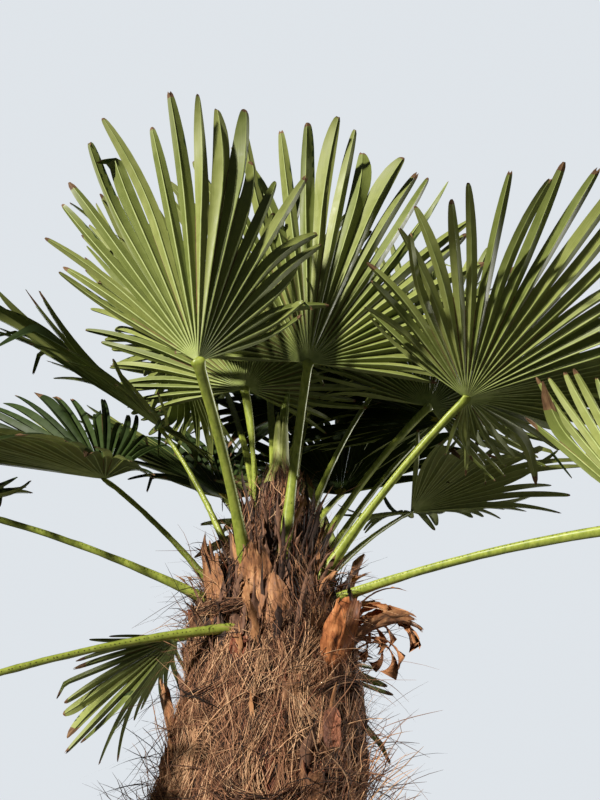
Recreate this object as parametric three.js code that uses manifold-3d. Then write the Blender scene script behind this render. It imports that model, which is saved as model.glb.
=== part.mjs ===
// Windmill palm rooted in the ground: a trunk in its coat of fibre, old leaf bases and dried sheaths on it,
// and a round crown of stiff fan fronds. Millimetres and degrees, +Z up, seen from -Y. The origin is the
// middle of the flat cut under the trunk. A turn is counted anticlockwise from +X, seen from above.

import * as THREE from "three";
import Module from "manifold-3d";

const wasm = await Module();
wasm.setup();

// Gap between a piece and what carries it or passes close by. A grown piece, used to cut others clear,
// is thicker by so many times the gap on a blade and along its edges
const CLEAR = 0.3;
const BLADE_GROWTH = 5;
const SHOULDER_GROWTH = 1.5;
const EDGE_GROWTH = 12;
const EDGE_SHIFT = 3;
const PARTING_SHIFT = 14;

// Finest step that a surface keeps
const SURFACE_TOLERANCE = 0.1;

// Trunk: height and radius from the flared foot to the growing tip, with the coat of fibre
const TRUNK_PROFILE = [
  [0, 178],
  [45, 158],
  [120, 140],
  [280, 129],
  [560, 124],
  [860, 129],
  [1140, 142],
  [1340, 154],
  [1450, 152],
  [1540, 140],
  [1620, 134],
  [1675, 116],
  [1730, 90],
  [1790, 66],
  [1860, 45],
  [1925, 28],
  [1960, 12],
];
const TRUNK_SIDES = 18;
const CROWN_LEVEL = 1900;
const CROWN_DRIFT = 30;
const COAT_LUMP = 5;
const LUMP_PITCHES = [85, 140];
const LUMPS_ROUND = [3, 5];
const LUMP_FADES = [150, 300];

// Fronds: the stalk
const STALK_SEAT_DEPTH = 14;
const STALK_WIDTHS = [32, 22, 17, 16, 17];
const STALK_THICKS = [18, 14, 11, 10, 10];
const STALK_SIDES = 6;
const STALK_ARCH = 0.03;
const HUB_WIDTH = 22;
const HUB_THICK = 11;
const HUB_SETBACK = 10;

// Fronds: the blade, whose leaflets part at a share of its radius
const LEAFLETS = 26;
const LEAFLET_THICK = 5.2;
const TIP_THICK = 3;
const LEAFLET_PLEAT = 4;
const NORMAL_STEP = 2;
const SPLIT_SHARE = 0.46;
const BEND_SHARE = 0.7;
const SHOULDER_SHARE = 0.88;
const SHOULDER_WIDTH = 0.78;
const SHOULDER_LIFT = 1.5;
const SIDE_SHORTENING = 0.54;
const SIDE_POWER = 2.2;
const LENGTH_WOBBLE = 0.025;
const TIP_DROOP = 0.05;
const LENGTH_STEPS = [1, 0.92, 0.84, 0.76, 0.68, 0.6, 0.54];

// Each frond, in the order in which it takes its space: turn and level of its seat on the crown, place of
// its hub, then turn, rise, roll and fold of its blade, the blade's radius and half of its spread
const FRONDS = [
  ["front_left", 241, 1715, [-75, -380, 1955], [278, 78, 13, 26], 480, 62],
  ["front_centre", 282, 1735, [85, -170, 2085], [287, 73, -12, 8], 525, 92],
  ["front_right", 328, 1710, [355, -200, 1995], [330, 6, -14, 16], 450, 120],
  ["right_inner", 356, 1765, [345, 30, 2100], [350, 65, -61, 16], 470, 105],
  ["left_inner", 160, 1820, [-40, -65, 2090], [283, 57, -1, 25], 470, 110],
  ["left_upper", 167, 1745, [-225, 50, 2060], [186, 34, -16, 5], 450, 115],
  ["left_far", 180, 1700, [-305, -15, 1920], [194, 6, -30, 22], 500, 115],
  ["left_low", 196, 1685, [-515, -160, 1820], [189, 0, -3, 25], 480, 115],
  ["left_near", 238, 1640, [-420, -260, 1530], [214, -42, 0, 30], 460, 115],
  ["right_near", 345, 1690, [565, -280, 1750], [355, 20, -60, 34], 470, 110],
  ["right_back", 41, 1715, [338, 305, 1958], [22, 12, -6, 20], 480, 110],
  ["centre_right", 30, 1805, [255, 160, 2220], [52, 47, -8, 14], 470, 100],
  ["left_inner_back", 176, 1790, [-200, 46, 2248], [141, 36, 37, 5], 490, 110],
  ["left_back", 112, 1735, [-124, 400, 2025], [153, 40, -19, 15], 500, 105],
  ["back_right", 72, 1755, [176, 392, 2033], [70, 57, 6, 18], 500, 100],
  ["back_upper_left", 128, 1810, [-148, 404, 2357], [114, 6, -13, 40], 490, 110],
  ["back_upper", 100, 1860, [-5, 145, 2220], [101, 56, 0, 32], 470, 110],
  ["back_upper_right", 55, 1845, [99, 212, 2213], [106, 58, -46, 6], 480, 110],
  ["back_centre", 88, 1800, [63, 380, 2213], [68, 52, 3, 19], 490, 110],
  ["right_inner_back", 18, 1740, [421, 239, 2173], [122, 39, -37, 6], 490, 105],
  ["right_back_low", 62, 1690, [164, 362, 1893], [158, 12, 36, 7], 390, 75],
  ["left_hanging", 134, 1630, [-200, 300, 1670], [146, -40, 20, 40], 330, 52],
  ["right_hanging", 65, 1600, [120, 340, 1640], [75, -45, -20, 45], 330, 60],
];

// Folded young leaf at the middle of the crown: lengths along it with its width and thickness there
const SPEAR_SEAT = 1925;
const SPEAR_TURN = 20;
const SPEAR_LEAN = 3;
const SPEAR_STATIONS = [
  [0, 22, 18],
  [60, 20, 16],
  [150, 30, 16],
  [300, 38, 13],
  [420, 22, 9],
  [470, 5, 4],
];

// Old leaf bases, cut or broken off: turn, level, length, width, thickness and lean from upright
const LEAF_BASES = [
  ["left_low", 198, 1380, 100, 44, 20, 10],
  ["front_flat", 286, 1500, 66, 36, 12, 8],
  ["front_right_cut", 309, 1462, 64, 50, 24, 24],
  ["front_low", 297, 1378, 80, 46, 18, 12],
  ["left_cut", 203, 1622, 60, 30, 16, 26],
  ["front_left_dark", 252, 1560, 66, 40, 14, 12],
];
const SPIRAL_BASES = 9;
const SPIRAL_TURN = 137.5;
const SPIRAL_START = 75;
const SPIRAL_FIRST_LEVEL = 240;
const SPIRAL_PITCH = 128;
const SPIRAL_LENGTH = 84;
const SPIRAL_WIDTH = 46;
const SPIRAL_THICK = 17;
const SPIRAL_LEAN = 17;
const SPIRAL_VARIATION = 0.15;

// Dried sheaths: turn, level, length, width, thickness, lean from upright and curl towards the tip
const SHEATHS = [
  ["right_wide", 320, 1578, 118, 68, 8, 20, 8],
  ["front_bulge", 272, 1628, 92, 50, 7, 4, 14],
  ["front_curled", 259, 1655, 130, 42, 5, 4, 60],
  ["left_ragged", 218, 1655, 150, 56, 5, 10, 8],
  ["right_ragged", 350, 1650, 150, 46, 5, 14, 26],
  ["right_ribbon", 347, 1618, 165, 56, 7, 50, 95],
  ["left_low_dry", 188, 1465, 120, 50, 6, 12, 16],
  ["back_left_dry", 118, 1560, 150, 60, 6, 10, 20],
  ["back_right_dry", 52, 1500, 140, 64, 6, 10, 22],
  ["back_low_dry", 84, 1380, 130, 58, 6, 12, 18],
];
const STRAP_STATIONS = 5;
const STRAP_SEAT_DEPTH = 10;
const STRAP_SIDES = 8;
const BASE_TAPER = 0.42;
const BASE_THINNING = 0.3;
const SHEATH_CUP = 0.16;
const SHEATH_SWELL = 0.25;
const SHEATH_POINT = 0.8;
const SHEATH_POINT_POWER = 2.5;
const SHEATH_THINNING = 0.35;

// Colours of the living and the dry parts
const finish = (color, roughness) => new THREE.MeshStandardMaterial({ color, roughness, metalness: 0 });
const FIBRE = finish(0x6b4c36, 0.95);
const LEAF_BASE = finish(0x8a6142, 0.9);
const SHEATH = finish(0xb0703f, 0.85);
const FROND = finish(0x66813a, 0.55);
const YOUNG_LEAF = finish(0x9bb04e, 0.5);

const radians = THREE.MathUtils.degToRad;
const degrees = THREE.MathUtils.radToDeg;
const vec = (x, y, z) => new THREE.Vector3(x, y, z);
const UP = vec(0, 0, 1);

// Point at a distance along a direction from another
const along = (from, direction, distance) => from.clone().addScaledVector(direction, distance);

// Trunk's radius and middle at a height
function radiusAt(z) {
  const k = Math.max(1, TRUNK_PROFILE.findIndex(([height]) => height >= z));
  const [z0, r0] = TRUNK_PROFILE[k - 1];
  const [z1, r1] = TRUNK_PROFILE[k];
  return THREE.MathUtils.mapLinear(z, z0, z1, r0, r1);
}

const middleAt = (z) => vec(CROWN_DRIFT * (z / CROWN_LEVEL) ** 2, 0, z);

// Horizontal direction of a turn, and the one across it
const outward = (turn) => vec(Math.cos(radians(turn)), Math.sin(radians(turn)), 0);
const sideways = (turn) => vec(-Math.sin(radians(turn)), Math.cos(radians(turn)), 0);

// Directions of a stalk or blade: along it, across it to the left, and out of its upper side
function axesOf(turn, rise, roll = 0) {
  const forward = outward(turn).multiplyScalar(Math.cos(radians(rise)));
  forward.addScaledVector(UP, Math.sin(radians(rise)));
  const across = sideways(turn).applyAxisAngle(forward, radians(roll));
  const upper = forward.clone().cross(across);
  return { forward, across, upper };
}

// Solid from points and the triangles between them, facing out
function solidFrom(points, triangles) {
  const vertProperties = new Float32Array(points.flatMap((p) => [p.x, p.y, p.z]));
  const triVerts = new Uint32Array(triangles.flat());
  return new wasm.Manifold(new wasm.Mesh({ numProp: 3, vertProperties, triVerts }));
}

// Skin over rings of points that turn to the left round the way from the first to the last, closed at
// the first
function ringSkin(rings) {
  const count = rings[0].length;
  const triangles = [];
  for (let k = 0; k + 1 < rings.length; k++) {
    for (let i = 0; i < count; i++) {
      const near = k * count + i;
      const next = k * count + ((i + 1) % count);
      triangles.push([near, next, next + count], [near, next + count, near + count]);
    }
  }
  for (let i = 1; i + 1 < count; i++) triangles.push([0, i + 1, i]);
  return triangles;
}

// Solid over rings, closed at both ends
function loft(rings) {
  const triangles = ringSkin(rings);
  const last = (rings.length - 1) * rings[0].length;
  for (let i = 1; i + 1 < rings[0].length; i++) triangles.push([last, last + i, last + i + 1]);
  return solidFrom(rings.flat(), triangles);
}

// Oval ring across a strap, whose middle stands out by its cup
function ovalRing(at, across, upper, width, thick, sides, cup = 0) {
  return Array.from({ length: sides }, (_, i) => {
    const angle = (2 * Math.PI * (i + 0.5)) / sides;
    const side = Math.cos(angle);
    const height = (Math.sin(angle) * thick) / 2 - cup * (1 - side * side);
    return along(along(at, across, (side * width) / 2), upper, height);
  });
}

// Both sides of a plate on a middle surface, with walls along its rim: point k has its upper place at 2k
// and its lower place at 2k + 1
function plateSkin(triangles, rim) {
  const faces = triangles.flatMap(([a, b, c]) => [
    [2 * a, 2 * b, 2 * c],
    [2 * a + 1, 2 * c + 1, 2 * b + 1],
  ]);
  for (let k = 0; k + 1 < rim.length; k++) {
    const [a, b] = [rim[k], rim[k + 1]];
    faces.push([2 * b, 2 * a, 2 * a + 1], [2 * b, 2 * a + 1, 2 * b + 1]);
  }
  return faces;
}

const bothSides = (points) =>
  points.flatMap(({ at, normal, thick }) => [along(at, normal, thick / 2), along(at, normal, -thick / 2)]);

// Trunk from the flat cut to the growing tip, lumpy with the coat over its old leaf bases
function trunkSolid(grow) {
  const top = TRUNK_PROFILE.at(-1)[0];
  const rings = TRUNK_PROFILE.map(([z, radius]) => {
    const fade = Math.min(1, z / LUMP_FADES[0], (top - z) / LUMP_FADES[1]);
    return Array.from({ length: TRUNK_SIDES }, (_, i) => {
      const angle = (2 * Math.PI * i) / TRUNK_SIDES;
      const wave = Math.sin(LUMPS_ROUND[0] * angle + z / LUMP_PITCHES[0]);
      const lump = COAT_LUMP * fade * wave * Math.cos(LUMPS_ROUND[1] * angle - z / LUMP_PITCHES[1]);
      const reach = radius + lump + grow;
      return middleAt(z).add(vec(Math.cos(angle) * reach, Math.sin(angle) * reach, 0));
    });
  });
  return loft(rings);
}

// Frond's own values, with the directions of its blade and the place of its hub
function frondOf([name, turn, level, hub, [bladeTurn, bladeRise, roll, fold], radius, spread], index) {
  const seatRadius = radiusAt(level) - STALK_SEAT_DEPTH;
  const seat = along(middleAt(level), outward(turn), seatRadius);
  const axes = axesOf(bladeTurn, bladeRise, roll);
  return { name, index, turn, seat, hub: vec(...hub), ...axes, fold, radius, spread };
}

// Direction of a leaflet at an angle from the middle rib; both halves of the blade fold up
function leafletDirection(frond, angle) {
  const a = radians(angle);
  const f = radians(frond.fold);
  return frond.forward
    .clone()
    .multiplyScalar(Math.cos(a))
    .addScaledVector(frond.across, Math.sin(a) * Math.cos(f))
    .addScaledVector(frond.upper, Math.abs(Math.sin(a)) * Math.sin(f))
    .normalize();
}

function leafletNormal(frond, angle) {
  const right = leafletDirection(frond, angle - NORMAL_STEP);
  const left = leafletDirection(frond, angle + NORMAL_STEP);
  return right.cross(left).normalize();
}

// Point of the blade at an angle and a distance from the hub, lifted off its middle surface
function bladePoint(frond, angle, distance, lift, thick) {
  const normal = leafletNormal(frond, angle);
  const at = along(frond.hub, leafletDirection(frond, angle), distance);
  at.addScaledVector(normal, lift);
  at.z -= TIP_DROOP * frond.radius * (distance / frond.radius) ** 3;
  return { at, normal, thick };
}

// Angle across the blade, counted in leaflets from its first edge
const angleAt = (frond, count) => frond.spread * ((2 * count) / LEAFLETS - 1);

// Share of the radius that is left at a place across the blade
const sideShare = (count) => 1 - SIDE_SHORTENING * Math.abs((2 * count) / LEAFLETS - 1) ** SIDE_POWER;

// Length that a leaflet would have with nothing in its way
function freeLength(frond, i) {
  const wobble = 1 + LENGTH_WOBBLE * Math.sin(2.4 * i + frond.index);
  return frond.radius * sideShare(i + 0.5) * wobble;
}

// Where two leaflets part: a grown blade has its partings further out, and its two edges to the sides
function splitPoint(frond, i, grow) {
  const distance = SPLIT_SHARE * frond.radius * sideShare(i) + PARTING_SHIFT * grow;
  const edge = i === 0 ? -1 : i === LEAFLETS ? 1 : 0;
  const angle = angleAt(frond, i) + (edge * degrees(EDGE_SHIFT * grow)) / distance;
  const thick = LEAFLET_THICK + (edge ? EDGE_GROWTH : BLADE_GROWTH) * grow;
  return bladePoint(frond, angle, distance, LEAFLET_PLEAT, thick);
}

function ribPoint(frond, i, length, grow) {
  const angle = angleAt(frond, i + 0.5);
  return bladePoint(frond, angle, length * BEND_SHARE, -LEAFLET_PLEAT, LEAFLET_THICK + BLADE_GROWTH * grow);
}

// Shoulder of a leaflet's blunt tip, on its right or left side
function shoulderPoint(frond, i, length, side, grow) {
  const halfStep = radians(frond.spread / LEAFLETS);
  const parting = SPLIT_SHARE * frond.radius * sideShare(i + 0.5);
  const halfWidth = SHOULDER_WIDTH * parting * Math.tan(halfStep) + SHOULDER_GROWTH * grow;
  const distance = length * SHOULDER_SHARE;
  const angle = angleAt(frond, i + 0.5) + side * degrees(Math.atan(halfWidth / distance));
  return bladePoint(frond, angle, distance, SHOULDER_LIFT, LEAFLET_THICK + BLADE_GROWTH * grow);
}

function tipPoint(frond, i, length, grow) {
  return bladePoint(frond, angleAt(frond, i + 0.5), length + 2 * grow, 0, TIP_THICK + BLADE_GROWTH * grow);
}

// One leaflet alone, to try its length
function leafletSolid(frond, i, share) {
  const length = freeLength(frond, i) * share;
  const points = [
    splitPoint(frond, i, CLEAR),
    shoulderPoint(frond, i, length, -1, CLEAR),
    tipPoint(frond, i, length, CLEAR),
    shoulderPoint(frond, i, length, 1, CLEAR),
    splitPoint(frond, i + 1, CLEAR),
    ribPoint(frond, i, length, CLEAR),
  ];
  const triangles = [
    [0, 1, 5],
    [1, 2, 5],
    [2, 3, 5],
    [3, 4, 5],
    [4, 0, 5],
  ];
  return solidFrom(bothSides(points), plateSkin(triangles, [0, 1, 2, 3, 4, 0]));
}

// Rings of the stalk, from inside its seat to just short of the hub
function stalkRings(frond, grow) {
  const chord = frond.hub.clone().sub(frond.seat);
  const across = sideways(frond.turn);
  const upper = chord.clone().normalize().cross(across).normalize();
  const bend = along(frond.seat, chord, 0.5).addScaledVector(upper, 2 * STALK_ARCH * chord.length());
  const curve = new THREE.QuadraticBezierCurve3(frond.seat, bend, frond.hub);
  const rings = STALK_WIDTHS.map((width, k) => {
    const t = k / STALK_WIDTHS.length;
    const tangent = curve.getTangent(t);
    const side = across.clone().lerp(frond.across, t * t);
    side.addScaledVector(tangent, -side.dot(tangent)).normalize();
    const face = tangent.cross(side);
    const thick = STALK_THICKS[k] + 2 * grow;
    return ovalRing(curve.getPoint(t), side, face, width + 2 * grow, thick, STALK_SIDES);
  });
  const end = along(frond.hub, frond.forward, -HUB_SETBACK - 2 * grow);
  const [width, thick] = [HUB_WIDTH + 2 * grow, HUB_THICK + 2 * grow];
  rings.push(ovalRing(end, frond.across, frond.upper, width, thick, STALK_SIDES));
  return rings;
}

// Whole frond as one skin: the stalk opens at the hub into a pleated fan, which is joined near the hub
// and cut into leaflets outside it
function frondSolid(frond, shares, grow) {
  const rings = stalkRings(frond, grow);
  const stalk = rings.flat();
  const points = [{ at: frond.hub, normal: frond.upper, thick: HUB_THICK + 2 * grow }];
  const triangles = [];
  const rim = [];
  const places = Array.from({ length: LEAFLETS + 1 }, (_, i) => splitPoint(frond, i, grow));
  const splits = places.map((point) => points.push(point) - 1);
  for (let i = 0; i < LEAFLETS; i++) {
    const length = freeLength(frond, i) * shares[i];
    const rib = points.push(ribPoint(frond, i, length, grow)) - 1;
    const right = points.push(shoulderPoint(frond, i, length, -1, grow)) - 1;
    const tip = points.push(tipPoint(frond, i, length, grow)) - 1;
    const left = points.push(shoulderPoint(frond, i, length, 1, grow)) - 1;
    const outline = [0, splits[i], right, tip, left, splits[i + 1], 0];
    for (let k = 0; k + 1 < outline.length; k++) triangles.push([outline[k], outline[k + 1], rib]);
    rim.push(splits[i], right, tip, left);
  }
  rim.push(splits[LEAFLETS]);
  const shift = stalk.length;
  const blade = plateSkin(triangles, rim).map((face) => face.map((k) => k + shift));
  const [right, left] = [2 * splits[0] + shift, 2 * splits[LEAFLETS] + shift];
  const mouth = [left, shift, right, right + 1, shift + 1, left + 1];
  const lastRing = shift - STALK_SIDES;
  const throat = mouth.flatMap((far, k) => {
    const next = (k + 1) % STALK_SIDES;
    return [
      [lastRing + k, lastRing + next, mouth[next]],
      [lastRing + k, mouth[next], far],
    ];
  });
  return solidFrom([...stalk, ...bothSides(points)], [...ringSkin(rings), ...blade, ...throat]);
}

// Whether two pieces' boxes overlap
function boxesMeet(a, b) {
  const one = a.boundingBox();
  const two = b.boundingBox();
  return [0, 1, 2].every((k) => one.min[k] < two.max[k] && two.min[k] < one.max[k]);
}

const meets = (a, b) => boxesMeet(a, b) && a.intersect(b).volume() > 0;

// Longest share of a leaflet's length that touches nothing
function clearShare(frond, i, taken) {
  const clear = LENGTH_STEPS.find((share) => {
    const leaflet = leafletSolid(frond, i, share);
    return !taken.some((other) => meets(leaflet, other));
  });
  return clear ?? LENGTH_STEPS.at(-1);
}

// Largest body that is left of a solid once what is taken is cut away
function cutClear(solid, taken) {
  let left = solid;
  for (const other of taken) {
    if (meets(left, other)) left = left.subtract(other);
  }
  const bodies = left.decompose().sort((a, b) => b.volume() - a.volume());
  return bodies[0].simplify(SURFACE_TOLERANCE);
}

// Strap that leaves the trunk at a level, leans out and curls: stations are length, width and thickness
function strapSolid(turn, level, depth, lean, curl, cup, stations, grow) {
  const across = sideways(turn);
  const total = stations.at(-1)[0];
  const at = along(middleAt(level), outward(turn), radiusAt(level) - depth);
  let reached = 0;
  const rings = stations.map(([length, width, thick]) => {
    const tilt = 90 - lean - curl * (length / total) ** 2;
    const { forward } = axesOf(turn, tilt);
    at.addScaledVector(forward, length - reached);
    reached = length;
    const upper = forward.clone().cross(across);
    return ovalRing(at, across, upper, width + 2 * grow, thick + 2 * grow, STRAP_SIDES, cup * width);
  });
  return loft(rings);
}

const strapShares = Array.from({ length: STRAP_STATIONS }, (_, k) => k / (STRAP_STATIONS - 1));

function leafBaseSolid([, turn, level, length, width, thick, lean], grow) {
  const stations = strapShares.map((s) => [
    s * length,
    width * (1 - BASE_TAPER * s),
    thick * (1 - BASE_THINNING * s),
  ]);
  return strapSolid(turn, level, STRAP_SEAT_DEPTH, lean, 0, 0, stations, grow);
}

function sheathSolid([, turn, level, length, width, thick, lean, curl], grow) {
  const stations = strapShares.map((s) => [
    s * length,
    width * (1 + SHEATH_SWELL * Math.sin(Math.PI * s) - SHEATH_POINT * s ** SHEATH_POINT_POWER),
    thick * (1 - SHEATH_THINNING * s),
  ]);
  return strapSolid(turn, level, STRAP_SEAT_DEPTH, lean, curl, SHEATH_CUP, stations, grow);
}

const spearSolid = (grow) =>
  strapSolid(SPEAR_TURN, SPEAR_SEAT, radiusAt(SPEAR_SEAT), SPEAR_LEAN, 0, 0, SPEAR_STATIONS, grow);

// Old bases lower down follow the palm's own spiral
const spiralBases = Array.from({ length: SPIRAL_BASES }, (_, k) => [
  "spiral_" + (k + 1),
  (SPIRAL_START + k * SPIRAL_TURN) % 360,
  SPIRAL_FIRST_LEVEL + k * SPIRAL_PITCH,
  SPIRAL_LENGTH * (1 + SPIRAL_VARIATION * Math.sin(3 * k)),
  SPIRAL_WIDTH,
  SPIRAL_THICK,
  SPIRAL_LEAN,
]);

// Palm: every piece is cut clear of those before it
const palm = new THREE.Group();
const taken = [trunkSolid(CLEAR)];

function addNode(name, solid, material) {
  const mesh = solid.getMesh();
  const geometry = new THREE.BufferGeometry();
  geometry.setAttribute("position", new THREE.BufferAttribute(mesh.vertProperties, 3));
  geometry.setIndex(new THREE.BufferAttribute(mesh.triVerts, 1));
  geometry.computeVertexNormals();
  const node = new THREE.Mesh(geometry, material);
  node.name = name;
  palm.add(node);
}

addNode("trunk", trunkSolid(0), FIBRE);

for (const frond of FRONDS.map(frondOf)) {
  const shares = Array.from({ length: LEAFLETS }, (_, i) => clearShare(frond, i, taken));
  addNode("frond_" + frond.name, cutClear(frondSolid(frond, shares, 0), taken), FROND);
  taken.push(frondSolid(frond, shares, CLEAR));
}

addNode("young_leaf", cutClear(spearSolid(0), taken), YOUNG_LEAF);
taken.push(spearSolid(CLEAR));

for (const base of [...LEAF_BASES, ...spiralBases]) {
  addNode("leaf_base_" + base[0], cutClear(leafBaseSolid(base, 0), taken), LEAF_BASE);
  taken.push(leafBaseSolid(base, CLEAR));
}

for (const sheath of SHEATHS) {
  addNode("sheath_" + sheath[0], cutClear(sheathSolid(sheath, 0), taken), SHEATH);
  taken.push(sheathSolid(sheath, CLEAR));
}

export default palm;
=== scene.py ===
"""Windmill palm: fan fronds with parted leaflets, and a trunk in its coat of matted fibre.

Metres, +Z up. Tables that repeat the part's source keep its millimetres and degrees.
"""

import math

import bpy
import numpy as np
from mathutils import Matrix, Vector


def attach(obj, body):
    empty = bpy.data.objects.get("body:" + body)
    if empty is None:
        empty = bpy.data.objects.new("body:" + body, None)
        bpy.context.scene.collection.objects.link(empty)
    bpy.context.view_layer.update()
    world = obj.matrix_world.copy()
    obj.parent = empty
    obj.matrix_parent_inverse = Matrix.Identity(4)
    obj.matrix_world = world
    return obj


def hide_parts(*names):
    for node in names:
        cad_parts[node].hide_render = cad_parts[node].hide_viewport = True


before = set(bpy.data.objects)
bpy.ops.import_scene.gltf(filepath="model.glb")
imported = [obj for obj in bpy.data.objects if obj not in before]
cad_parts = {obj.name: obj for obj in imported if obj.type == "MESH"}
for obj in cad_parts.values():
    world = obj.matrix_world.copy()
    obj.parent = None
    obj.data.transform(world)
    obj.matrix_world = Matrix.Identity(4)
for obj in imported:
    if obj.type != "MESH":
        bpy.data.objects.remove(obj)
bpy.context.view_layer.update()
MM = 0.001
UP = np.array([0, 0, 1.0])

# Degrees from one leaf to the next in the spiral round the trunk
SPIRAL_STEP = 137.5

# Camera, low in front of the trunk and looking up into the crown
CAMERA_PLACE = (0.070, -1.10, 1.50)
CAMERA_PITCH = 28.6
CAMERA_LENS = 27
CAMERA_SENSOR = 36

# Trunk: heights and radii as in the part's source, and how far its middle leans to +X at the crown
TRUNK_PROFILE = np.array([
    [0, 178], [45, 158], [120, 140], [280, 129], [560, 124], [860, 129], [1140, 142], [1340, 154],
    [1450, 152], [1540, 140], [1620, 134], [1675, 116], [1730, 90], [1790, 66], [1860, 45],
    [1925, 28], [1960, 12],
]) * MM
CROWN_LEVEL = 1.9
CROWN_DRIFT = 0.03
TRUNK_TOP = 1.96
TRUNK_SIDES = 180
TRUNK_STEPS = (0.008, 0.006)
STEPS_CHANGE = 1.0

# Relief of the coat. Its lumps: height, height of a cell, cells round the trunk and seed
LUMPS = ((0.007, 0.11, 6, 11), (0.006, 0.05, 14, 12), (0.0025, 0.02, 44, 13))
BURIED_BASES = 44
BURIED_RISE = 0.042
BURIED_HEIGHT = 0.011
BURIED_WIDTH = 0.38
NOISE_ROWS = 512

# Fronds, as in the part's source: turn and level of the seat, hub, turn, rise, roll and fold of the
# blade, its radius and half of its spread. The last value, not in the source, is the age from 0 to 1
FRONDS = {
    "front_left": (241, 1715, (-75, -380, 1955), (278, 78, 13, 26), 480, 62, 0.3),
    "front_centre": (282, 1735, (85, -170, 2085), (287, 73, -12, 8), 525, 92, 0.2),
    "front_right": (328, 1710, (355, -200, 1995), (330, 6, -14, 16), 450, 120, 0.4),
    "right_inner": (356, 1765, (345, 30, 2100), (350, 65, -61, 16), 470, 105, 0.3),
    "left_inner": (160, 1820, (-40, -65, 2090), (283, 57, -1, 25), 470, 110, 0.1),
    "left_upper": (167, 1745, (-225, 50, 2060), (186, 34, -16, 5), 450, 115, 0.3),
    "left_far": (180, 1700, (-305, -15, 1920), (194, 6, -30, 22), 500, 115, 0.5),
    "left_low": (196, 1685, (-515, -160, 1820), (189, 0, -3, 25), 480, 115, 0.6),
    "left_near": (238, 1640, (-420, -260, 1530), (214, -42, 0, 30), 460, 115, 0.9),
    "right_near": (345, 1690, (565, -280, 1750), (355, 20, -60, 34), 470, 110, 0.6),
    "right_back": (41, 1715, (338, 305, 1958), (22, 12, -6, 20), 480, 110, 0.5),
    "centre_right": (30, 1805, (255, 160, 2220), (52, 47, -8, 14), 470, 100, 0.1),
    "left_inner_back": (176, 1790, (-200, 46, 2248), (141, 36, 37, 5), 490, 110, 0.2),
    "left_back": (112, 1735, (-124, 400, 2025), (153, 40, -19, 15), 500, 105, 0.4),
    "back_right": (72, 1755, (176, 392, 2033), (70, 57, 6, 18), 500, 100, 0.4),
    "back_upper_left": (128, 1810, (-148, 404, 2357), (114, 6, -13, 40), 490, 110, 0.2),
    "back_upper": (100, 1860, (-5, 145, 2220), (101, 56, 0, 32), 470, 110, 0.1),
    "back_upper_right": (55, 1845, (99, 212, 2213), (106, 58, -46, 6), 480, 110, 0.1),
    "back_centre": (88, 1800, (63, 380, 2213), (68, 52, 3, 19), 490, 110, 0.2),
    "right_inner_back": (18, 1740, (421, 239, 2173), (122, 39, -37, 6), 490, 105, 0.3),
    "right_back_low": (62, 1690, (164, 362, 1893), (158, 12, 36, 7), 390, 75, 0.8),
    "left_hanging": (134, 1630, (-200, 300, 1670), (146, -40, 20, 40), 330, 52, 1.0),
    "right_hanging": (65, 1600, (120, 340, 1640), (75, -45, -20, 45), 330, 60, 1.0),
}
STALK_SEAT_DEPTH = 0.014
STALK_SHARES = (0, 0.2, 0.4, 0.6, 0.8, 0.97, 0.985, 1, 1.004)
STALK_WIDTHS = (0.034, 0.022, 0.017, 0.016, 0.016, 0.017, 0.020, 0.022, 0.013)
STALK_THICKS = (0.018, 0.014, 0.011, 0.010, 0.010, 0.009, 0.008, 0.005, 0.002)
STALK_ARCH = 0.03
STALK_SIDES = 12
TOOTH_STEP = 0.0065
TOOTH_ROOT = (0.0014, 0.0011)
TOOTH_HEIGHTS = (0.0007, 0.0017)
SPLIT_SHARE = 0.46
SIDE_SHORTENING = 0.54
SIDE_POWER = 2.2
TIP_DROOP = 0.05
CAD_LEAFLETS = 26

# Leaflets of the finished blade: degrees between ribs, and rows as shares of the joined and the free
# part. Width goes from the parting at 0 to the tip, and pleat in degrees has the parting at 1
LEAFLET_STEP = 5.6
BLADE_THICK = 0.0008
PARTING_WANDER = (0.88, 1.12)
LENGTH_WANDER = 0.03
LEAST_LENGTH = 1.12
MERGED_SHARES = (0.34, 0.05)
MERGED_REACH = (1.25, 1.65)
NOTCH_DEPTHS = (0.004, 0.011)
NOTCHED_SHARE = 0.4
WILD_SHARE = 0.06
SEAM_SHARE = 0.5
SEAM_HALF = 0.0006
SEAM_DEPTH = 0.0009
FAN_ROWS = np.array([0.012, 0.1, 0.3, 0.5, 0.75, 1.0])
FREE_ROWS = np.array([0.1, 0.24, 0.4, 0.56, 0.7, 0.82, 0.9, 0.955])
WIDTH_ALONG = ((0, 1), (0.25, 1.03), (0.5, 0.98), (0.7, 0.89), (0.85, 0.73), (0.94, 0.56),
               (0.98, 0.42), (1, 0.20))
PLEAT_ALONG = ((0, 47), (1, 47), (1.5, 38), (1.9, 22), (2, 8))

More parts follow.
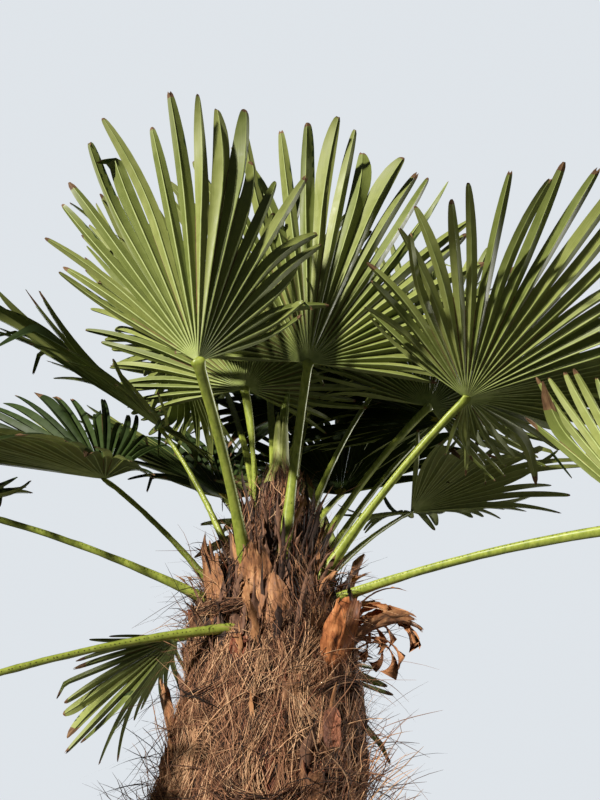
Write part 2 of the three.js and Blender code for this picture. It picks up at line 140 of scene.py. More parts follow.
# Old leaf bases and dried sheaths, as in the part's source: turn, level, length, width, thickness and
# lean, and a sheath's curl
LEAF_BASES = {
    "left_low": (198, 1380, 100, 44, 20, 10),
    "front_flat": (286, 1500, 66, 36, 12, 8),
    "front_right_cut": (309, 1462, 64, 50, 24, 24),
    "front_low": (297, 1378, 80, 46, 18, 12),
    "left_cut": (203, 1622, 60, 30, 16, 26),
    "front_left_dark": (252, 1560, 66, 40, 14, 12),
}
for k in range(9):
    length = 84 * (1 + 0.15 * math.sin(3 * k))
    LEAF_BASES[f"spiral_{k + 1}"] = ((75 + k * SPIRAL_STEP) % 360, 240 + k * 128, length, 46, 17, 17)
SHEATHS = {
    "right_wide": (320, 1578, 118, 68, 8, 20, 8),
    "front_bulge": (272, 1628, 92, 50, 7, 4, 14),
    "front_curled": (259, 1655, 130, 42, 5, 4, 60),
    "left_ragged": (218, 1655, 150, 56, 5, 10, 8),
    "right_ragged": (350, 1650, 150, 46, 5, 14, 26),
    "right_ribbon": (347, 1618, 165, 56, 7, 50, 95),
    "left_low_dry": (188, 1465, 120, 50, 6, 12, 16),
    "back_left_dry": (118, 1560, 150, 60, 6, 10, 20),
    "back_right_dry": (52, 1500, 140, 64, 6, 10, 22),
    "back_low_dry": (84, 1380, 130, 58, 6, 12, 18),
}
STRAP_SEAT_DEPTH = 0.010

# Young folded leaf: length along it, width and thickness. Its level is in metres
SPEAR_STATIONS = ((0, 22, 18), (60, 20, 16), (150, 30, 16), (300, 38, 13), (420, 22, 9), (470, 5, 4))
SPEAR_TURN, SPEAR_LEAN = 20, 3
SPEAR_LEVEL = 1.925
SPEAR_SIDES = 56


def unit(v):
    return v / np.maximum(np.linalg.norm(v, axis=-1, keepdims=True), 1e-12)


def outward(turn):
    return np.stack([np.cos(turn), np.sin(turn), np.zeros_like(turn)], -1)


def sideways(turn):
    return np.stack([-np.sin(turn), np.cos(turn), np.zeros_like(turn)], -1)


# Angles of so many points evenly round a ring
def ring_of(count):
    return np.linspace(0, math.tau, count + 1)[:-1]


# Points at x along the side and y along the face of each place
def placed(at, side, x, face, y):
    return at + side * x[..., None] + face * y[..., None]


# Points at x of a line given at stations
def along_line(x, stations, line):
    return np.stack([np.interp(x, stations, values) for values in line.T], -1)


# A sine or cosine made squarer, for rings with flattened sides
def squarer(wave, power):
    return np.sign(wave) * np.abs(wave) ** power


def rotated(v, axis, angle):
    turned = v * np.cos(angle) + np.cross(axis, v) * np.sin(angle)
    return turned + axis * (v * axis).sum(-1, keepdims=True) * (1 - np.cos(angle))


# Smooth noise round the trunk: u runs once round it, v counts its cells upwards
def noise(u, v, cells, seed):
    table = np.random.default_rng(seed).uniform(-1, 1, (NOISE_ROWS, cells))
    x, y = u * cells, v + 100
    x0, y0 = np.floor(x).astype(int), np.floor(y).astype(int)
    fx, fy = (f * f * (3 - 2 * f) for f in (x - x0, y - y0))

    def across(row):
        row = row % NOISE_ROWS
        return table[row, x0 % cells] * (1 - fx) + table[row, (x0 + 1) % cells] * fx

    return across(y0) * (1 - fy) + across(y0 + 1) * fy


def radius_at(z):
    return np.interp(z, TRUNK_PROFILE[:, 0], TRUNK_PROFILE[:, 1])


def middle_at(z):
    z = np.asarray(z, float)
    return np.stack([CROWN_DRIFT * (z / CROWN_LEVEL) ** 2, np.zeros_like(z), z], -1)


# Relief of the coat: its lumps, and the steps that the buried leaf bases make in it
def relief_at(turn, z):
    u = (turn / math.tau) % 1
    lumps = sum(height * noise(u, z / cell, cells, seed) for height, cell, cells, seed in LUMPS)
    for k in range(BURIED_BASES):
        aside = (turn - math.radians(20 + SPIRAL_STEP * k) + math.pi) % math.tau - math.pi
        rise = (z - 0.1 - BURIED_RISE * k + 0.05) / 0.1
        ramp = np.clip(rise, 0, 1) * np.clip((1.2 - rise) / 0.2, 0, 1)
        lumps += BURIED_HEIGHT * ramp * np.exp(-((aside / BURIED_WIDTH) ** 2))
    fade = np.clip(z / 0.12, 0.15, 1) * np.clip((TRUNK_TOP - z) / 0.25, 0, 1)
    return (lumps - 0.003) * fade


def on_trunk(turn, z, lift):
    reach = radius_at(z) + relief_at(turn, z) + lift
    return middle_at(z) + outward(turn) * reach[..., None]


def add_object(name, data):
    obj = bpy.data.objects.new(name, data)
    bpy.context.scene.collection.objects.link(obj)
    return obj


# Collects grids of points as one piece of the scene
class Piece:
    def __init__(self, name, slot, nodes=()):
        self.name, self.slot, self.nodes = name, slot, list(nodes)
        self.points, self.quads, self.tris, self.uvs = [], [], [], []
        self.count = 0

    # Grids are (grids, rows, columns, 3); a closed one joins its last column to its first
    def grids(self, points, closed=False, flip=False, uv=None):
        points = np.asarray(points, float)
        if points.ndim == 3:
            points = points[None]
        n, rows, cols, _ = points.shape
        if n == 0:
            return
        index = np.arange(n * rows * cols).reshape(n, rows, cols) + self.count
        after = np.roll(index, -1, 2)
        if not closed:
            index, after = index[:, :, :-1], after[:, :, :-1]
        quads = np.stack([index[:, :-1], after[:, :-1], after[:, 1:], index[:, 1:]], -1).reshape(-1, 4)
        self.quads.append(quads[:, ::-1] if flip else quads)
        self.points.append(points.reshape(-1, 3))
        if uv is None:
            step = np.linalg.norm(np.diff(points, axis=1), axis=-1).mean(-1)
            run = np.pad(np.cumsum(step, 1), ((0, 0), (1, 0)))
            side = np.linalg.norm(points - points[:, :, :1], axis=-1)
            shift = np.arange(n)[:, None, None] * 0.137
            uv = np.stack([side + shift, np.broadcast_to(run[:, :, None], side.shape) + shift], -1)
        self.uvs.append(np.broadcast_to(uv, (n, rows, cols, 2)).reshape(-1, 2))
        self.count += n * rows * cols

    # Loose triangles as (points, 3) with their index triples
    def triangles(self, points, faces):
        self.points.append(points)
        self.tris.append(np.asarray(faces) + self.count)
        self.uvs.append(points[:, :2])
        self.count += len(points)

    def build(self, material, smooth=True):
        points = np.concatenate(self.points)
        uvs = np.concatenate(self.uvs)
        faces = self.quads + self.tris
        corners = np.concatenate([f.ravel() for f in faces])
        sizes = np.concatenate([np.full(len(f), f.shape[1]) for f in faces])
        mesh = bpy.data.meshes.new(self.name)
        mesh.vertices.add(len(points))
        mesh.vertices.foreach_set("co", points.astype(np.float32).ravel())
        mesh.loops.add(len(corners))
        mesh.loops.foreach_set("vertex_index", corners.astype(np.int32))
        mesh.polygons.add(len(sizes))
        starts = np.concatenate([[0], np.cumsum(sizes)[:-1]])
        mesh.polygons.foreach_set("loop_start", starts.astype(np.int32))
        mesh.polygons.foreach_set("use_smooth", np.full(len(sizes), smooth))
        layer = mesh.uv_layers.new(name="along")
        layer.data.foreach_set("uv", uvs[corners].astype(np.float32).ravel())
        mesh.update(calc_edges=True)
        mesh.validate()
        mesh.materials.append(material)
        obj = add_object(self.name, mesh)
        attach(obj, "root")
        if self.nodes:
            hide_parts(*self.nodes)


def linear(color):
    return tuple(((c / 255 + 0.055) / 1.055) ** 2.4 if c > 10 else c / 255 / 12.92 for c in color)


# Sets a node's inputs. One given as a socket, or as a node for its first output, is linked
def wire(node, inputs):
    for name, value in inputs.items():
        if isinstance(value, bpy.types.Node):
            value = value.outputs[0]
        if isinstance(value, bpy.types.NodeSocket):
            node.id_data.links.new(value, node.inputs[name])
        else:
            node.inputs[name].default_value = value
    return node


def add_node(tree, kind, inputs):
    return wire(tree.nodes.new("ShaderNode" + kind), inputs)


# Material whose colour, roughness and bump come from streaks and grain; scales are counts in a metre
def material(name, tones, streak, grain, bump, rough=(0.7, 0.9), depth=0.001, along_uv=False,
             specular=0.4, sheen=0):
    made = bpy.data.materials.new(name)
    made.use_nodes = True
    tree = made.node_tree
    place = add_node(tree, "TexCoord", {}).outputs
    along = place["UV" if along_uv else "Object"]
    stretch = add_node(tree, "Mapping", {"Scale": streak, "Vector": along})
    streaks = add_node(tree, "TexNoise", {"Scale": 1, "Detail": 4, "Roughness": 0.6, "Vector": stretch})
    specks = add_node(tree, "TexNoise", {"Scale": grain, "Detail": 3, "Vector": place["Object"]})
    mix = add_node(tree, "Mix", {"Factor": 0.35, "A": streaks, "B": specks})
    ramp = add_node(tree, "ValToRGB", {"Fac": mix})
    low, high = 0.34, 0.68
    elements = ramp.color_ramp.elements
    elements[0].position, elements[1].position = low, high
    elements[0].color, elements[1].color = (*linear(tones[0]), 1), (*linear(tones[-1]), 1)
    for k, tone in enumerate(tones[1:-1]):
        elements.new(low + (high - low) * (k + 1) / (len(tones) - 1)).color = (*linear(tone), 1)
    spread = add_node(tree, "MapRange", {
        "From Min": 0.3, "From Max": 0.7, "To Min": rough[0], "To Max": rough[1], "Value": specks})
    raised = add_node(tree, "Bump", {"Strength": bump, "Distance": depth, "Height": mix})
    wire(tree.nodes["Principled BSDF"], {
        "Specular IOR Level": specular, "Sheen Weight": sheen, "Base Color": ramp, "Roughness": spread,
        "Normal": raised})
    return made


# One frond's axes and hub, with the way to find a point of its blade
class Frond:
    def __init__(self, name, values, index):
        turn, level, hub, blade_angles, radius, spread, self.age = values
        self.node = "frond_" + name
        self.rng = np.random.default_rng(100 + index)
        angles = map(math.radians, (turn, *blade_angles, spread))
        self.turn, blade_turn, rise, roll, self.fold, self.spread = angles
        self.hub = np.array(hub) * MM
        self.radius = radius * MM
        level *= MM
        self.seat = middle_at(level) + outward(self.turn) * (radius_at(level) - STALK_SEAT_DEPTH)
        self.forward = outward(blade_turn) * math.cos(rise) + UP * math.sin(rise)
        self.across = rotated(sideways(blade_turn), self.forward, roll)
        self.upper = np.cross(self.forward, self.across)

    def direction(self, angle):
        angle = np.asarray(angle)[..., None]
        way = np.cos(angle) * self.forward + np.sin(angle) * math.cos(self.fold) * self.across
        return unit(way + np.abs(np.sin(angle)) * math.sin(self.fold) * self.upper)

    def normal(self, angle):
        step = math.radians(2)
        return unit(np.cross(self.direction(angle - step), self.direction(angle + step)))

    def droop(self, distance):
        fall = TIP_DROOP * self.radius * (distance / self.radius) ** 3
        return -fall[..., None] * UP

    # Furthest that the solid's leaflets reach at an angle
    def reach(self, angle):
        mesh = bpy.data.objects[self.node].data
        points = np.empty(len(mesh.vertices) * 3)
        mesh.vertices.foreach_get("co", points)
        away = points.reshape(-1, 3) - self.hub
        distance = np.linalg.norm(away, axis=1)
        ways = self.direction(np.linspace(-self.spread, self.spread, CAD_LEAFLETS + 1)[:-1]
                              + self.spread / CAD_LEAFLETS)
        facing = unit(away) @ ways.T
        nearest = facing.argmax(1)
        far = (distance > 0.3 * self.radius) & (facing.max(1) > 0.9)
        reach = np.array([distance[far & (nearest == k)].max(initial=0) for k in range(CAD_LEAFLETS)])
        place = (angle / self.spread + 1) / 2 * CAD_LEAFLETS
        return reach[np.clip(place.astype(int), 0, CAD_LEAFLETS - 1)]


fronds = [Frond(name, values, k) for k, (name, values) in enumerate(FRONDS.items())]

# Pieces of the crown
UNDER_TONES = ("pale", "mid", "deep")
replaced = {"mid": [f.node for f in fronds]}
under = [Piece(f"leaflets_under_{t}", "frond", replaced.get(t, ())) for t in UNDER_TONES]
upper = [Piece(f"leaflets_upper_{t}", "frond") for t in UNDER_TONES[1:]]
dry_tips, ribs, seams, hubs, stalks, teeth = (Piece(name, "frond") for name in (
    "leaflet_tips_dry", "leaflet_ribs", "leaflet_seams", "frond_hubs", "frond_stalks", "stalk_teeth"))


def blade(frond):
    rng = frond.rng
    count = round(2 * math.degrees(frond.spread) / LEAFLET_STEP)
    column = (count, 1)
    half = frond.spread / count
    edges = np.linspace(-frond.spread, frond.spread, count + 1)
    middle = edges[:-1] + half

    def share(place):
        return 1 - SIDE_SHORTENING * np.abs(place / frond.spread) ** SIDE_POWER

    # Where neighbours part, how long each leaflet is, and runs that stay joined further out
    parting = SPLIT_SHARE * frond.radius * share(edges) * rng.uniform(*PARTING_WANDER, count + 1)
    length = frond.radius * share(middle) * (1 + rng.normal(0, LENGTH_WANDER, count))
    length = np.minimum(length, frond.reach(middle))
    length = np.maximum(length, LEAST_LENGTH * np.maximum(parting[1:], parting[:-1]))
    run = noise(edges / frond.spread * 0.5, frond.hub[0] * 7, 14, 17)
    merged = rng.random(count + 1) < np.where(run > 0.1, *MERGED_SHARES)
    shorter = np.minimum(np.append(length[0], length), np.append(length, length[-1]))
    joined = np.minimum(parting * rng.uniform(*MERGED_REACH, count + 1), shorter / 1.18)
    parting = np.where(merged, np.maximum(parting, joined), parting)
    dry = np.clip(rng.gamma(1.6, 0.0025 + 0.006 * frond.age, column), 0.002, 0.02 + 0.1 * frond.age)

    # Rows from the hub to the tip, as distances at the right edge, rib and left edge
    length = length[:, None]
    near = [part[:, None] for part in (parting[:-1], (parting[:-1] + parting[1:]) / 2, parting[1:])]
    last = 1 - np.minimum(dry / (length - near[0]), 0.5)
    free = np.concatenate([FREE_ROWS * last / FREE_ROWS[-1] * 0.98, last, 0.5 + 0.5 * last,
                           np.ones(column)], 1)
    far = [np.concatenate([part * FAN_ROWS, part + (length - part) * free], 1) for part in near]
    far[1][:, -1] -= rng.uniform(*NOTCH_DEPTHS, count) * (rng.random(count) < NOTCHED_SHARE)
    position = np.concatenate([np.broadcast_to(FAN_ROWS, (count, len(FAN_ROWS))), 1 + free], 1)
    pleat = np.radians(np.interp(position, *zip(*PLEAT_ALONG))) * rng.uniform(0.75, 1.2, column)
    v = np.clip(position - 1, 0, 1)
    width = np.interp(v, *zip(*WIDTH_ALONG))

    # Wander of the free part: twist, bends, sag and a broken tip here and there
    twist = rng.normal(0, 0.16, column)
    wild = rng.random(column) < WILD_SHARE
    twist[wild] = rng.normal(0, 0.8, wild.sum())
    side_bend = rng.normal(0, 0.018, column) * frond.radius / 0.47
    back_bend = rng.normal(0, 0.02 + 0.012 * frond.age, column) - 0.006 - 0.02 * frond.age
    broken = rng.random(column) < 0.008 + 0.12 * frond.age**2
    break_at = rng.uniform(0.5, 0.85, column)
    break_turn = np.where(broken, rng.uniform(0.7, 2.1, column), 0)[..., None]

    way, up = frond.direction(middle), frond.normal(middle)
    lateral = np.cross(up, way)
    down = unit(way * (way @ UP)[:, None] - UP)
    way, up, lateral, down = (axis[:, None] for axis in (way, up, lateral, down))

    def centre(distance):
        at = (frond.hub + way * distance[..., None] + frond.droop(distance)
              + lateral * (side_bend * v**2)[..., None] + up * (back_bend * v**2)[..., None])
        past = np.maximum(distance - (near[1] + (length - near[1]) * break_at), 0)[..., None]
        return at + past * (way * (np.cos(break_turn) - 1) + down * np.sin(break_turn))

    def half_depth(k):
        return (np.minimum(far[k], near[k]) * math.tan(half) * np.tan(pleat) * width / 2)[..., None]

    is_fan = (position <= 1)[..., None]
    angle = (twist * v**1.3)[..., None]
    side_way = lateral * np.cos(angle) + up * np.sin(angle)
    up_way = up * np.cos(angle) - lateral * np.sin(angle)
    rims = []
    for k, side, edge in ((0, -1, edges[:-1]), (2, 1, edges[1:])):
        half_width = (near[k] * math.tan(half) * width)[..., None]
        on_fan = (frond.hub + frond.direction(edge)[:, None] * far[k][..., None] + frond.droop(far[k])
                  + frond.normal(edge)[:, None] * half_depth(k))
        on_free = centre(far[k]) + side * half_width * side_way + up_way * half_depth(k)
        rims.append(np.where(is_fan, on_fan, on_free))
    rib = centre(far[1]) - up_way * half_depth(1)

    # Two flanks, each with an upper and a lower sheet that meet along the edges
    tone = rng.integers(0, 3, count)
    tip_row = position.shape[1] - 3
    lift = up_way * BLADE_THICK
    shift = (np.arange(count) * 0.031)[:, None, None]
    for rim, side in zip(rims, (-1, 1)):
        mid = (rim + rib) / 2 + up_way * (0.06 * np.linalg.norm(rim - rib, axis=-1))[..., None]
        for sheet, sign in ((under, -1), (upper, 1)):
            strip = np.stack([rim, mid + lift * sign / 2, rib + lift * sign / 2], 2)
            flip = side == sign
            run = np.broadcast_to(far[1][..., None], strip.shape[:-1])
            reach = np.linalg.norm(strip - rib[:, :, None], axis=-1)
            uv = np.stack([reach * side + shift, run + shift], -1)
            for t, piece in enumerate(sheet):
                own = tone % len(sheet) == t
                piece.grids(strip[own, 1 : tip_row + 1], flip=flip, uv=uv[own, 1 : tip_row + 1])
            dry_tips.grids(strip[:, tip_row:], flip=flip, uv=uv[:, tip_row:])
            hubs.grids(strip[:, :2], flip=flip, uv=uv[:, :2])

    # Raised rib along the lower side
    thick = np.interp(position, (0, 0.1, 1, 2), (0.0005, 0.0012, 0.0011, 0.0005))[..., None]
    base = rib - lift
    raised = np.stack([base - side_way * thick, base - up_way * thick * 1.3, base + side_way * thick], 2)
    ribs.grids(raised[:, : tip_row + 1], flip=True)

    # Thin brown seam where neighbours are still joined
    brown = rng.random(count) < SEAM_SHARE
    edge, half_seam = rims[1] - up_way * SEAM_DEPTH, side_way * SEAM_HALF
    seams.grids(np.stack([edge - half_seam, edge + half_seam], 2)[brown, 2 : len(FAN_ROWS)])


# Arched stalk, flat above and rounded below, from the trunk to the blade's hub
def stalk(frond):
    rng = frond.rng
    t = np.concatenate([np.linspace(0, 0.94, 26), [0.965, 0.98, 0.99, 1.0, 1.004]])
    chord = frond.hub - frond.seat
    size = np.linalg.norm(chord)
    across = sideways(frond.turn)
    up = unit(np.cross(chord, across))
    bend = frond.seat + chord / 2 + up * 2 * STALK_ARCH * size
    s = np.minimum(t, 1)[:, None]
    path = (frond.seat * (1 - s) ** 2 + bend * 2 * s * (1 - s) + frond.hub * s**2
            + frond.forward * np.maximum(t - 1, 0)[:, None]
            - frond.upper * (0.002 * np.clip((t - 0.9) / 0.1, 0, 1))[:, None])
    tangent = unit((bend - frond.seat) * (1 - s) + (frond.hub - bend) * s)
    side = across * (1 - s**2) + frond.across * s**2
    side = unit(side - tangent * (side * tangent).sum(-1, keepdims=True))
    face = np.cross(tangent, side)
    wide = np.interp(t, STALK_SHARES, STALK_WIDTHS) / 2
    thick = np.interp(t, STALK_SHARES, STALK_THICKS)
    ring = ring_of(STALK_SIDES) + 0.13
    x, sine = squarer(np.cos(ring), 0.8), np.sin(ring)
    y = np.where(sine > 0, 0.36 * np.abs(sine) ** 0.5 - 0.08 * sine**4, -0.62 * np.abs(sine) ** 0.9)
    points = placed(path[:, None], side[:, None], x * wide[:, None], face[:, None], y * thick[:, None])
    wobble = rng.normal(0, 0.00025, points.shape[:2])
    points = points + face[:, None] * wobble[..., None]
    stalks.grids(points, closed=True)
    tip = points[-1].mean(0)
    stalks.triangles(np.concatenate([points[-1], [tip + frond.forward * 0.003]]),
                     [(k, (k + 1) % STALK_SIDES, STALK_SIDES) for k in range(STALK_SIDES)])

    # Small blunt teeth along both edges
    steps = int(size * 0.8 / TOOTH_STEP)
    for sign in (-1, 1):
        at = np.linspace(0.08, 0.9, steps) + rng.normal(0, 0.002, steps)
        place, out, along, upward = (along_line(at, t, line) for line in (path, side, tangent, face))
        out = out * sign
        root = place + out * (np.interp(at, t, wide) - 0.0004)[:, None]
        tall = rng.uniform(*TOOTH_HEIGHTS, steps)[:, None]
        half_long, half_deep = along * TOOTH_ROOT[0], upward * TOOTH_ROOT[1]
        tooth = np.stack([root - half_long, root + half_deep, root + half_long, root - half_deep,
                          root + out * tall + along * 0.0008], 1)
        faces = np.array([(0, 1, 4), (1, 2, 4), (2, 3, 4), (3, 0, 4)])[:, ::-sign]
        faces = faces + 5 * np.arange(steps)[:, None, None]
        teeth.triangles(tooth.reshape(-1, 3), faces.reshape(-1, 3))


for frond in fronds:
    blade(frond)
    stalk(frond)


# Trunk: relief mesh of the coat, closed flat at the ground
def trunk():
    piece = Piece("trunk_coat", "trunk_fibre", ["trunk"])
    z = np.concatenate([np.arange(0, STEPS_CHANGE, TRUNK_STEPS[0]),
                        np.arange(STEPS_CHANGE, TRUNK_TOP, TRUNK_STEPS[1]), [TRUNK_TOP]])
    turn, z = np.meshgrid(ring_of(TRUNK_SIDES), z)
    points = on_trunk(turn, z, 0)
    piece.grids(points, closed=True)
    for rim, flip in ((points[0], True), (points[-1], False)):
        centre = rim.mean(0)
        piece.grids(np.stack([rim, centre + (rim - centre) * 0.01]), closed=True, flip=flip)
    return piece


trunk_piece = trunk()


# Fibres laid on the coat: middle, slant from upright, curl, length, lift, and how far one end is free
def lay(rng, steps, *columns):
    turn0, z0, slant, curl, length, lift, free = (values[:, None] for values in columns)
    s = np.linspace(-0.5, 0.5, steps + 1)
    pace = rng.uniform(4, 12, z0.shape)
    wave = rng.uniform(0, 0.005, z0.shape) * np.sin(s * pace + rng.uniform(0, 6, z0.shape))
    bow = curl * s**2 / 2
    z = z0 + length * (s * np.cos(slant) - bow * np.sin(slant))
    aside = length * (s * np.sin(slant) + bow * np.cos(slant)) + wave
    turn = turn0 + aside / np.maximum(radius_at(z0), 0.05)
    end = np.where(rng.random(z0.shape) < 0.6, 1, -1)
    away = lift + free * np.maximum(end * s * 2, 0) ** 1.7
    return on_trunk(turn, np.clip(z, 0.004, TRUNK_TOP + 0.02), away), outward(turn)


# Single fibres all over a stretch of the coat
def scattered(rng, part, lifts, count, levels, lengths, slants, steps, further, loose):
    z0 = rng.uniform(*levels, int(count * part))
    z0 = z0[rng.random(len(z0)) < np.clip(radius_at(z0) / 0.12, 0.35, 1)]
    count = len(z0)
    turn0 = rng.uniform(0, math.tau, count)
    cross = rng.random(count) < CROSS_SHARE
    across = rng.choice([-1, 1], count) * rng.uniform(*slants, count)
    slant = np.where(cross, across, rng.normal(0, 0.25, count))
    slant += 0.6 * noise(turn0 / math.tau, z0 / 0.13, 6, 31)
    slant = np.where(z0 > 1.7, slant * 0.4, slant)
    free = rng.exponential(loose, count) * (rng.random(count) < 0.3)
    return lay(rng, steps, turn0, z0, slant, rng.normal(0, 0.9, count), rng.uniform(*lengths, count),
               rng.uniform(lifts[0], lifts[1] + further, count), free)


# Tufts: fibres of one tuft run side by side
def tufted(rng, tufts, levels, lengths, lifts):
    middle = rng.uniform(*levels, tufts)
    middle = middle[rng.random(tufts) < np.clip(radius_at(middle) / 0.12, 0.3, 1)]
    tufts = len(middle)
    flat = rng.random(tufts) < FLAT_SHARE
    level = rng.choice([-1, 1], tufts) * rng.uniform(1.1, 1.6, tufts)
    slant = np.where(flat, level, rng.normal(0, 0.42, tufts))
    slant = np.where(middle > 1.68, slant * 0.35, slant)
    size = rng.uniform(*lengths, tufts)
    turn, curl = rng.uniform(0, math.tau, tufts), rng.normal(0, 1.5, tufts)
    width, base = rng.uniform(0.003, 0.011, tufts), rng.uniform(*lifts, tufts)

    middle, slant, size, turn, curl, width, base = (
        np.repeat(values, TUFT_FIBRES) for values in (middle, slant, size, turn, curl, width, base))
    count = len(middle)
    offset = rng.normal(0, 1, count) * width
    z0 = middle - offset * np.sin(slant) + rng.normal(0, 0.014, count)
    turn0 = turn + offset * np.cos(slant) / radius_at(middle)
    lift = base * np.exp(-np.abs(offset) * 40) + rng.uniform(-0.001, 0.002, count)
    free = rng.exponential(0.01, count) * (rng.random(count) < 0.25)
    slant, curl, size = (values + rng.normal(0, by, count)
                         for values, by in ((slant, 0.1), (curl, 0.3), (size, 0.015)))
    return lay(rng, 4, turn0, z0, slant, curl, size, lift, free)


# Swag: a loose bundle that hangs between two turns
def swag(rng, turns, level, sag, lift, count, thick, steps=12, winding=(3, 2)):
    column = (count, 1)
    s = np.linspace(0, 1, steps + 1)
    start, end = (math.radians(turn) + rng.normal(0, 0.08, column) for turn in turns)
    around = rng.uniform(0, math.tau, column) + s * rng.normal(*winding, column)
    reach = thick * np.sqrt(rng.random(column)) * (0.5 + 2 * s * (1 - s))
    z = level - sag * 4 * s * (1 - s) + reach * np.sin(around)
    turn = start + (end - start) * s
    return on_trunk(turn, z, lift + reach * np.cos(around)), outward(turn)


# Loose fibres that stand out from the coat and fall over
def loose_ends(rng, turns, levels, count, lengths, rises, falls):
    column = (count, 1)
    s = np.linspace(0, 1, 10)
    turn0 = np.radians(rng.uniform(*turns, column))
    z0, length = rng.uniform(*levels, column), rng.uniform(*lengths, column)
    z = z0 + length * (rng.uniform(*rises, column) * s - rng.uniform(*falls, column) * s**2)
    turn = turn0 + rng.normal(0, 0.35, column) * s + 0.05 * np.sin(s * 5 + turn0 * 9)
    out = length * rng.uniform(0.3, 0.75, column) * s**1.2
    return on_trunk(turn, np.maximum(z, 0.01), out - 0.002), outward(turn)


def side_of(points, out):
    return unit(np.cross(unit(np.gradient(points, axis=1)), out))


# Half widths along fibres that taper by a share to both ends
def half_widths(points, rng, widths, share, power):
    count, rows, _ = points.shape
    taper = 1 - share * np.abs(np.linspace(-1, 1, rows)) ** power
    return (rng.uniform(*widths, count)[:, None] * taper / 2)[..., None]


# Flat fibres, each a strip of quads
def ribbons(piece, laid, rng, widths, tilt=0.6):
    points, out = laid
    lean = rng.normal(0, tilt, len(points))[:, None, None]
    side = unit(side_of(points, out) * np.cos(lean) + out * np.sin(lean))
    half = half_widths(points, rng, widths, 0.7, 4)
    piece.grids(np.stack([points - side * half, points + side * half], 2))


# Coarse fibres, each a tube of three sides
def strands(piece, laid, rng, widths):
    points, out = laid
    side = side_of(points, out)
    half = half_widths(points, rng, widths, 0.75, 3)
    ring = [side * half, -side * half * 0.5 + out * half * 0.87, -side * half * 0.5 - out * half * 0.87]
    piece.grids(np.stack([points + r for r in ring], 2), closed=True)


# Each tone of fibre, partly painted light and shade: its tones, its share of the coat and how far out it
# lies
FIBRES = {
    # Pale straw, lying furthest out: partly the fibre's own colour, partly painted highlight
    "straw": (((174, 129, 94), (202, 158, 119), (222, 186, 148)), 0.10, 0.006),
    "tan": (((122, 82, 58), (149, 104, 75), (172, 127, 94)), 0.26, 0.003),
    "brown": (((58, 37, 27), (80, 52, 37), (102, 69, 49)), 0.33, 0.001),
    # Near-black, lying low in the coat: partly the fibre's own dark brown, partly painted shade of the
    # coat's depths
    "dark": (((18, 12, 9), (34, 23, 17), (50, 34, 26)), 0.25, 0.001),
    "red": (((90, 46, 33), (114, 62, 43), (134, 78, 54)), 0.10, 0.0),
}
CROSS_SHARE = 0.42
FLAT_SHARE = 0.08

# Layers of the coat. Scattered: count, levels, lengths, slants, steps, further lift, looseness, widths.
# Tufted: count, levels, lengths, widths
SCATTERED = (
    (12500, (0, 1.93), (0.04, 0.15), (0.2, 1.0), 4, 0, 0.01, (0.0006, 0.0014)),
    (9000, (1.3, 1.8), (0.05, 0.17), (0.2, 1.1), 4, 0, 0.02, (0.0005, 0.0011)),
)
TUFTED = (
    (500, (0, 1.9), (0.05, 0.15), (0.0006, 0.0012)),
    (640, (1.3, 1.78), (0.04, 0.14), (0.0005, 0.0010)),
)
TUFT_FIBRES = 26
HEAD_FIBRES = (2400, (1.66, 1.9), (0.04, 0.14), (0.0, 0.5), 5, 0.022, 0.03, (0.0006, 0.0013))
COARSE_FIBRES = (1100, (0, 1.85), (0.06, 0.22), (0.2, 1.2), 6, 0, 0.02, (0.0012, 0.0024))

# Hanging bundles: turns, level, sag, lift, thickness and count. The first is a dense roll
ROLL = ((216, 246), 1.672, 0.004, 0.022, 0.014, 900)
SWAGS = (
    ((250, 296), 1.44, 0.03, 0.01, 0.012, 60),
    ((285, 335), 1.4, 0.022, 0.01, 0.012, 50),
    ((205, 240), 1.56, 0.016, 0.01, 0.008, 24),
    ((300, 345), 1.545, -0.018, 0.012, 0.008, 40),
    ((40, 95), 1.5, 0.025, 0.01, 0.01, 60),
    ((120, 180), 1.62, 0.02, 0.01, 0.01, 60),
    ((150, 210), 1.25, 0.025, 0.01, 0.012, 50),
    ((320, 380), 1.18, 0.03, 0.01, 0.012, 50),
    ((60, 120), 0.9, 0.03, 0.01, 0.012, 50),
    ((230, 290), 0.7, 0.03, 0.01, 0.012, 50),
)
BUNDLE_EXTRA = 1.3

# Loose ends: turns, levels and count. Long straws have their lengths, rises, falls and widths too
WILD_ENDS = (
    ((180, 235), (1.60, 1.74), 90), ((285, 350), (1.34, 1.48), 90), ((180, 250), (1.34, 1.55), 40),
    ((300, 360), (1.55, 1.70), 60), ((0, 360), (1.20, 1.75), 110), ((0, 360), (0.05, 1.30), 70),
)
STRAWS = (
    ((318, 350), (1.26, 1.42), 26, (0.09, 0.17), (0.6, 1.0), (0.0, 0.3), (0.0010, 0.0024)),
    ((196, 226), (1.28, 1.44), 22, (0.08, 0.16), (0.5, 1.1), (0.0, 0.2), (0.0008, 0.0018)),
)


